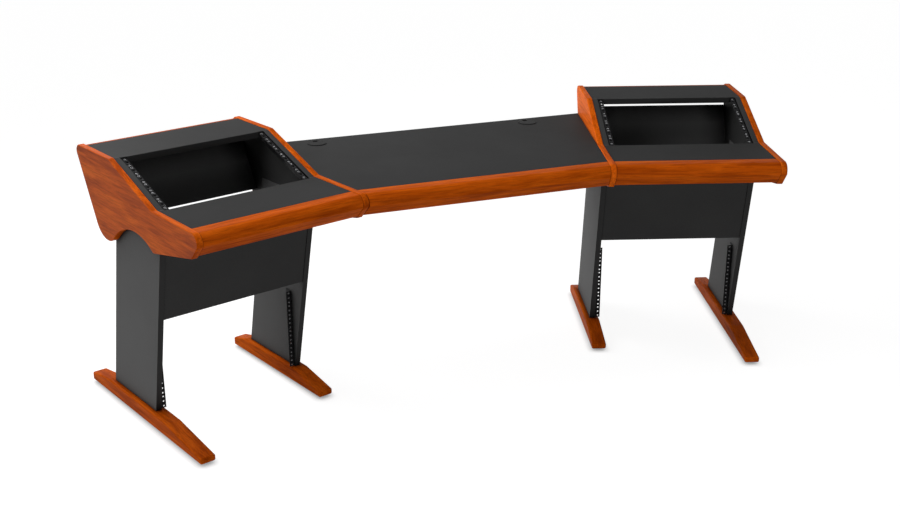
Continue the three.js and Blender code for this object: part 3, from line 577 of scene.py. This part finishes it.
def prism(name, outline, ends, far_material=0):
    """A solid between two copies of the outline; ends gives the world place of a point at each end."""
    bm = bmesh.new()
    rings = [[bm.verts.new(end(v, z)) for v, z in outline] for end in ends]
    bm.faces.new(rings[0])
    bm.faces.new(list(reversed(rings[1]))).material_index = far_material
    count = len(outline)
    for i in range(count):
        j = (i + 1) % count
        bm.faces.new((rings[0][i], rings[1][i], rings[1][j], rings[0][j]))
    return finish_mesh(name, bm)


def ease(piece, width, segments=2, weld=False):
    """Takes the hard edge off a board or rounds it."""
    if weld:
        modifier = piece.modifiers.new("weld", "WELD")
        modifier.merge_threshold = WELD_DISTANCE
    bevel = piece.modifiers.new("ease", "BEVEL")
    bevel.width = width
    bevel.segments = segments
    bevel.limit_method = "ANGLE"
    bevel.angle_limit = EASE_ANGLE
    bevel.use_clamp_overlap = True
    bevel.material = 0
    bevel.harden_normals = not weld


def circle(segments, first=0.0):
    """Angles round a full turn, from the given share of a step on."""
    return [2 * math.pi * (i + first) / segments for i in range(segments)]


def bridge(bm, rings):
    """Walls between rings of vertices; a ring can be one vertex, repeated."""
    for low, high in zip(rings, rings[1:]):
        for i in range(len(low)):
            j = (i + 1) % len(low)
            corners = [low[i], low[j], high[j], high[i]]
            unique = [vert for k, vert in enumerate(corners) if vert not in corners[:k]]
            if len(unique) > 2:
                bm.faces.new(unique)


class Spindle:
    """Rings of vertices about an axis through a centre."""

    def __init__(self, bm, centre, axis, angles):
        self.bm = bm
        self.centre = Vector(centre)
        self.axis = Vector(axis).normalized()
        self.across = self.axis.orthogonal().normalized()
        self.other = self.axis.cross(self.across)
        self.angles = angles

    def ring(self, radii, height):
        base = self.centre + self.axis * height
        pairs = zip(radii, self.angles)
        places = [base + self.across * r * math.cos(a) + self.other * r * math.sin(a) for r, a in pairs]
        return [self.bm.verts.new(place) for place in places]

    def point(self, height):
        return [self.bm.verts.new(self.centre + self.axis * height)] * len(self.angles)


def lathe(bm, profile, centre, axis, segments=48):
    """Turns a closed profile of (radius, height) about the axis through the centre."""
    spindle = Spindle(bm, centre, axis, circle(segments))
    bridge(bm, [spindle.ring([r] * segments, z) if r else spindle.point(z) for r, z in profile])


def cross_radius(angle):
    """Distance from the middle of a screw's cross to its outline."""
    big = max(abs(math.cos(angle)), abs(math.sin(angle)))
    small = min(abs(math.cos(angle)), abs(math.sin(angle)))
    return CROSS_ARM / big if small / big <= CROSS_HALF_WIDTH / CROSS_ARM else CROSS_HALF_WIDTH / small


def screw_head(bm, centre, axis):
    """Pan head with a cross recess."""
    spindle = Spindle(bm, centre, axis, circle(SCREW_SEGMENTS, first=0.5))
    rings = [spindle.ring([SCREW_RADIUS] * SCREW_SEGMENTS, 0)]
    for share in SCREW_RING_SHARES:
        radius = SCREW_RADIUS * (1 - SCREW_DRAW_IN_SHARE * share**3)
        height = SCREW_HEIGHT * math.sin(share * math.pi / 2)
        rings.append(spindle.ring([radius] * SCREW_SEGMENTS, height))
    cross = [cross_radius(a) for a in spindle.angles]
    rings.append(spindle.ring(cross, SCREW_HEIGHT))
    foot = [r * CROSS_FOOT_SHARE for r in cross]
    rings.append(spindle.ring(foot, SCREW_HEIGHT * CROSS_FOOT_HEIGHT_SHARE))
    bridge(bm, rings)
    bm.faces.new(rings[0])
    bm.faces.new(rings[-1])


# A rail's sheet: the face with its holes, the bend and the side flange, as (across, along) strips
BEND_RADIUS = 0.0022  # at the middle of the sheet
HOLE_SEGMENTS = 20
THREAD_DEPTH = 0.0008
THREAD_GAP = 0.00005  # between a lining and its hole
THREAD_INSET = 0.0001  # from either face of the sheet
LEVEL_DECIMALS = 7
STRAIGHT = 1e-9  # a cosine or sine as small as this counts as none
SAME_ANGLE = 1e-6


def hole_cell(bm, left, right, low, high, middle, spot):
    """A rectangle of sheet with a round hole in it; spot gives the world place of (across, along)."""
    spokes = []
    for angle in circle(HOLE_SEGMENTS):
        c, s = math.cos(angle), math.sin(angle)
        reach_x = ((right if c > 0 else left) - middle[0]) / c if abs(c) > STRAIGHT else math.inf
        reach_y = ((high if s > 0 else low) - middle[1]) / s if abs(s) > STRAIGHT else math.inf
        reach = min(reach_x, reach_y)
        inner = (middle[0] + RACK_HOLE_RADIUS * c, middle[1] + RACK_HOLE_RADIUS * s)
        rim = (middle[0] + reach * c, middle[1] + reach * s)
        spokes.append((angle, inner, rim))
    corners = [(x, y) for x in (left, right) for y in (low, high)]
    corner_angles = {math.atan2(y - middle[1], x - middle[0]) % (2 * math.pi): (x, y) for x, y in corners}
    for i, (angle, inner, rim) in enumerate(spokes):
        next_angle, next_inner, next_rim = spokes[(i + 1) % HOLE_SEGMENTS]
        if next_angle <= angle:
            next_angle += 2 * math.pi
        first, last = angle + SAME_ANGLE, next_angle - SAME_ANGLE
        between = [place for a, place in corner_angles.items() if first < a < last]
        loop = [inner, rim, *between, next_rim, next_inner]
        bm.faces.new([bm.verts.new(spot(x, y)) for x, y in loop])


def rail_levels(holes, bounds, middle_u):
    """Heights at which the holes' spokes meet the edge of the bend."""
    levels = set()
    for low, high, middle in zip(bounds, bounds[1:], holes):
        levels.update((low, high))
        for angle in circle(HOLE_SEGMENTS):
            if math.cos(angle) < -STRAIGHT:
                level = middle + middle_u * math.sin(angle) / -math.cos(angle)
                if low < level < high:
                    levels.add(level)
    return sorted({round(level, LEVEL_DECIMALS) for level in levels})


def rail_sheet(name, locate, tail):
    """Folded angle with eighteen holes and a tail; locate gives the world place of (u, v, along)."""
    half = RAIL_STEEL / 2
    flat_start = half + BEND_RADIUS
    holes = [(unit + share) * RACK_UNIT for unit in range(RACK_UNITS) for share in RACK_PITCH_SHARES]
    bounds = [-tail, *[(a + b) / 2 for a, b in zip(holes, holes[1:])], RACK_LENGTH]
    bm = bmesh.new()
    width = RAIL_FACE - flat_start
    middle_u = width - RACK_HOLE_INSET

    def on_face(across, along):
        return locate(flat_start + across, half, along)

    for low, high, middle in zip(bounds, bounds[1:], holes):
        hole_cell(bm, 0, width, low, high, (middle_u, middle), on_face)
    bend = arc((flat_start, flat_start), BEND_RADIUS, 1.5 * math.pi, math.pi, 15 * DEGREE)
    path = [*bend, (half, RAIL_FLANGE)]
    levels = rail_levels(holes, bounds, middle_u)
    for (u0, v0), (u1, v1) in zip(path, path[1:]):
        near = [locate(u0, v0, along) for along in levels]
        far = [locate(u1, v1, along) for along in (RACK_LENGTH, -tail)]
        bm.faces.new([bm.verts.new(place) for place in (*near, *far)])
        levels = [-tail, RACK_LENGTH]
    piece = finish_mesh(name, bm, sharp=35 * DEGREE)
    thick = piece.modifiers.new("sheet", "SOLIDIFY")
    thick.thickness = RAIL_STEEL
    thick.offset = 0
    thick.use_even_offset = True
    return piece


def rail_threads(name, locate, shares):
    """Bare steel linings of the tapped holes, made bright as a painted glint."""
    middle_u = RAIL_FACE - RACK_HOLE_INSET
    outer, inner = RACK_HOLE_RADIUS - THREAD_GAP, RACK_HOLE_RADIUS - THREAD_DEPTH
    low, high = THREAD_INSET, RAIL_STEEL - THREAD_INSET
    profile = [(inner, low), (outer, low), (outer, high), (inner, high), (inner, low)]
    bm = bmesh.new()
    for unit in range(RACK_UNITS):
        for share in shares:
            along = (unit + share) * RACK_UNIT
            centre = locate(middle_u, 0, along)
            back = locate(middle_u, RAIL_STEEL, along) - centre
            lathe(bm, profile, centre, back, segments=HOLE_SEGMENTS)
    return finish_mesh(name, bm, sharp=30 * DEGREE)


def rail_screws(name, locate):
    """Heads on the side flange."""
    back = RAIL_FLANGE * RAIL_SCREW_FLANGE_SHARE
    outward = 0.01  # any length; it only points
    bm = bmesh.new()
    for share in RAIL_SCREW_SHARES:
        along = RACK_LENGTH * share
        seat = locate(RAIL_STEEL, back, along)
        screw_head(bm, seat, locate(RAIL_STEEL + outward, back, along) - seat)
    return finish_mesh(name, bm, sharp=45 * DEGREE)


# Dressing
MATERIALS = {}
CHEEK_TONES = {  # tone and painted sheen; the right inner cheek's raised tone is painted light
    "left_outer": (1.04, 0.15),
    "left_inner": (1.0, 0),
    "right_inner": (1.24, 0.04),
    "right_outer": (1.0, 0),
}
FOOT_TONE = 0.9
LIPPING_TONE = 0.65
# A cheek's seed is its number, 1 to 4; these are added for the other pieces of its wing
FOOT_SEED = 10
ARMREST_SEED = 20
LIPPING_SEED = 30
CENTRE_ARMREST_SEED = 50
BOARD_LOOKS = {  # the end of a node's name, its material and what is taken off its edges
    "grommet_cap": ("plastic", 0.0002),
    "bracket": ("zinc", 0.0005),
    "top": ("laminate", BOARD_EASE),
    "leg": ("{side}_leg", BOARD_EASE),
    "back_panel": ("back", BOARD_EASE),
    "side": ("{side}_side", BOARD_EASE),
    "modesty_panel": ("carcass", BOARD_EASE),
    "front_rail": ("carcass", BOARD_EASE),
    "rear_rail": ("carcass", BOARD_EASE),
}
GLIDE_PROFILE = [  # radius and height
    (0, 0),
    (0.0085, 0),
    (0.0098, 0.0004),
    (0.0107, 0.0013),
    (0.0110, 0.0026),
    (0.0110, 0.0077),
    (0, 0.0077),
]


def make_materials():
    coat_and_crease_shade = {"specular": 0.03, "crease": DEEP_CREASE_SHADE}
    MATERIALS.update(
        laminate=board("laminate", shade=54, specular=0.012),
        carcass=board("carcass_board", shade=65, seed=3, specular=0.03, crease=BOARD_CREASE_SHADE),
        # The back board is painted lighter than the other boards, as painted light in the bays
        back=board("back_board", shade=105, seed=4, **coat_and_crease_shade),
        # The side boards' broad faces are painted darker than their edges, as painted shade in the bays
        left_side=board("left_side_board", shade=49, seed=7, edge=(65, SIDES["left"]), **coat_and_crease_shade),
        right_side=board("right_side_board", shade=44, seed=8, edge=(65, SIDES["right"]), **coat_and_crease_shade),
        # The leg boards' broad faces are painted lighter and their edges darker, as painted light from the
        # left
        left_leg=board("left_leg_board", shade=92, seed=5, edge=(58, SIDES["left"]), crease=DEEP_CREASE_SHADE),
        right_leg=board("right_leg_board", shade=92, seed=6, edge=(58, SIDES["right"]), crease=DEEP_CREASE_SHADE),
        steel=metal("rail_steel", rgb(24, 24, 25), roughness=0.5, metallic=0.0, specular=0.05),
        # Hole linings: bare steel, made brighter as a painted glint on the upper rails and dimmer as
        # painted shade on the lower ones
        cut_steel=metal("rail_cut_edge", rgb(185, 185, 188), roughness=0.4, metallic=0.5),
        dull_steel=metal("rail_dull_edge", rgb(84, 84, 86), roughness=0.5, metallic=0.3),
        zinc=metal("zinc", rgb(150, 152, 155), roughness=0.35, metallic=0.9),
        plastic=board("grommet_plastic", shade=34, roughness=0.5, specular=0.03),
        nylon=board("glide_nylon", shade=190, roughness=0.5),
    )


def paint(piece, *materials):
    if piece.data.materials:
        piece.data.materials.clear()
    for material in materials:
        piece.data.materials.append(material)


def stand_for(piece, slot, material, *names, second=None):
    """Paints a piece that rides on the desk, and hides the nodes that it takes the place of."""
    paint(piece, *([material, second] if second else [material]))
    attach(piece, "desk")
    if names:
        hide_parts(*names)


def wing_ends(side, u0, u1):
    return [lambda v, z, u=u: to_world(side, u, v, z) for u in (u0, u1)]


def seam_ends():
    """Places of a point at the two mitred ends of a piece in the centre."""

    def reach(v):
        return SEAM_HALF_WIDTH + v * math.tan(WING_ANGLE) - SEAT_GAP / math.cos(WING_ANGLE)

    return [lambda v, z, s=s: Vector((s * reach(v), DESK_Y + v, z)) for s in (-1, 1)]


def at_side(position, low, high):
    """The pair's span in u: as given on the inner side, mirrored on the outer."""
    return (low, high) if position == "inner" else (WING_WIDTH - low, WING_WIDTH - high)


def add_wing_wood(prefix, side, position, seed):
    """A wing's cheek, with the side boards' dark material and its painted shade on its face towards the
    carcass, and the foot on the same side.
    """
    name = f"{prefix}_{position}"
    along_v = math.pi / 2 - side * WING_ANGLE
    ends = wing_ends(side, *at_side(position, 0, CHEEK_THICKNESS))
    cheek = prism(f"{name}_cheek_wood", cheek_outline(), ends, far_material=1)
    ease(cheek, CHEEK_EDGE_ROUND, segments=4)
    look = wood(f"wood_{name}_cheek", along_v, seed, *CHEEK_TONES[name], side)
    stand_for(cheek, "wood", look, f"{name}_cheek", second=MATERIALS[f"{prefix}_side"])
    low = LEG_MIDDLE_U - FOOT_WIDTH / 2
    ends = wing_ends(side, *at_side(position, low, low + FOOT_WIDTH))
    foot = prism(f"{name}_foot_wood", foot_outline(*FEET[position]), ends)
    ease(foot, FOOT_EDGE_ROUND, segments=4)
    look = wood(f"wood_{name}_foot", along_v, seed + FOOT_SEED, FOOT_TONE)
    stand_for(foot, "wood", look, f"{name}_foot")


def add_wood_pieces():
    seed = 0
    for prefix, side in SIDES.items():
        for position in ("inner", "outer"):
            seed += 1
            add_wing_wood(prefix, side, position, seed)
        along_u = -side * WING_ANGLE
        inside = CHEEK_THICKNESS + SEAT_GAP
        ends = wing_ends(side, inside, WING_WIDTH - inside)
        armrest = prism(f"{prefix}_armrest_wood", armrest_outline(), ends)
        ease(armrest, BOARD_EASE)
        look = wood(f"wood_{prefix}_armrest", along_u, seed + ARMREST_SEED)
        stand_for(armrest, "wood", look, f"{prefix}_armrest")
        lipping = prism(f"{prefix}_lipping_wood", lipping_outline(), ends)
        look = wood(f"wood_{prefix}_lipping", along_u, seed + LIPPING_SEED, LIPPING_TONE)
        stand_for(lipping, "wood", look, f"{prefix}_turret_lipping")
    centre = prism("centre_armrest_wood", armrest_outline(), seam_ends())
    ease(centre, BOARD_EASE)
    stand_for(centre, "wood", wood("wood_centre_armrest", 0, CENTRE_ARMREST_SEED), "centre_armrest")


def rail_frame(side, position, where):
    """Places of (u, v, along) on a rail, with u from the board's face and v back from the rail's face."""
    sign = 1 if position == "inner" else -1
    base = BAY_INSET + SEAT_GAP if position == "inner" else WING_WIDTH - BAY_INSET - SEAT_GAP
    if where == "lower":
        return lambda u, v, along: to_world(side, base + sign * u, LOWER_RAIL_V + v, LOWER_RAIL_Z + along)
    c, s = math.cos(SLOPE_ANGLE), math.sin(SLOPE_ANGLE)

    def locate(u, v, along):
        run = RACK_FOOT_CLEARANCE + along
        out = -RAIL_RECESS - v
        back = SLOPE_FOOT_V + run * c - out * s
        return to_world(side, base + sign * u, back, WORKTOP_HEIGHT + run * s + out * c)

    return locate


def add_rails():
    for prefix, side in SIDES.items():
        for position in ("inner", "outer"):
            for where in ("upper", "lower"):
                name = f"{prefix}_{position}_{where}_rail"
                locate = rail_frame(side, position, where)
                rail = rail_sheet(f"{name}_steel", locate, UPPER_RAIL_TAIL if where == "upper" else 0)
                stand_for(rail, "steel", MATERIALS["steel"], name)
                # The painted glint goes on two holes of each unit on the upper rails and on every hole of
                # the lower rails
                glinting_shares = RACK_PITCH_SHARES[::2] if where == "upper" else RACK_PITCH_SHARES
                threads = rail_threads(f"{name}_threads", locate, glinting_shares)
                stand_for(threads, "steel", MATERIALS["cut_steel" if where == "upper" else "dull_steel"])
                stand_for(rail_screws(f"{name}_screws", locate), "steel", MATERIALS["steel"])


def add_bracket_screws():
    top = WORKTOP_UNDERSIDE - SEAT_GAP - BRACKET_STEEL
    level = top - BRACKET_LEG * BRACKET_SIDE_SCREW_SHARE
    for prefix, side in SIDES.items():
        for position, start in BRACKET_STARTS.items():
            bm = bmesh.new()
            for share in BRACKET_SCREW_SHARES:
                v = start + BRACKET_LENGTH * share
                screw_head(bm, to_world(side, -BRACKET_LEG * BRACKET_TOP_SCREW_SHARE, v, top), (0, 0, -1))
                seat = to_world(side, -SEAT_GAP - BRACKET_STEEL, v, level)
                screw_head(bm, seat, to_world(side, -1, v, level) - seat)
            screws = finish_mesh(f"{prefix}_{position}_bracket_screws", bm, sharp=45 * DEGREE)
            stand_for(screws, "zinc", MATERIALS["zinc"])


def add_glides():
    for prefix, side in SIDES.items():
        for position in ("inner", "outer"):
            front, rear = FEET[position][:2]
            u = at_side(position, LEG_MIDDLE_U, 0)[0]
            for end, v in (("front", front + GLIDE_INSET), ("rear", rear - GLIDE_INSET)):
                name = f"{prefix}_{position}_{end}_glide"
                bm = bmesh.new()
                lathe(bm, GLIDE_PROFILE, to_world(side, u, v, 0), (0, 0, 1))
                piece = finish_mesh(f"{name}_disc", bm, sharp=30 * DEGREE)
                stand_for(piece, "nylon", MATERIALS["nylon"], name)


def add_grommet_liners():
    inside, outside, rim = 0.0272, 0.0297, 0.033
    foot, flange_top = -0.022, 0.0021
    cap_thickness, ledge_width = 0.002, 0.002
    rim_round, recess_round = 0.0009, 0.0002
    recess = inside + ledge_width
    ledge = flange_top - cap_thickness - SEAT_GAP
    profile = [
        (inside, foot),
        (outside, foot),
        (outside, SEAT_GAP),
        (rim, SEAT_GAP),
        (rim, flange_top - rim_round),
        (rim - rim_round / 3, flange_top - rim_round / 3),
        (rim - rim_round, flange_top),
        (recess + recess_round, flange_top),
        (recess, flange_top - recess_round),
        (recess, ledge),
        (inside, ledge),
        (inside, foot),
    ]
    for prefix, side in SIDES.items():
        bm = bmesh.new()
        lathe(bm, profile, (side * GROMMET_X, DESK_Y + GROMMET_Y, WORKTOP_HEIGHT), (0, 0, 1), segments=72)
        liner = finish_mesh(f"{prefix}_grommet_ring", bm, sharp=30 * DEGREE)
        stand_for(liner, "plastic", MATERIALS["plastic"], f"{prefix}_grommet_liner")


def dress_boards():
    """Gives the frame's own boards, brackets and caps their materials and soft edges."""
    for name in sorted(nodes):
        for ending, (look, width) in BOARD_LOOKS.items():
            if name.endswith(ending):
                paint(nodes[name], MATERIALS[look.format(side=name.split("_")[0])])
                ease(nodes[name], width, weld=True)


add_camera()
add_floor()
add_world()
add_lamps()
make_materials()
dress_boards()
add_wood_pieces()
add_rails()
add_bracket_screws()
add_glides()
add_grommet_liners()
bpy.context.scene.view_settings.view_transform = "Standard"
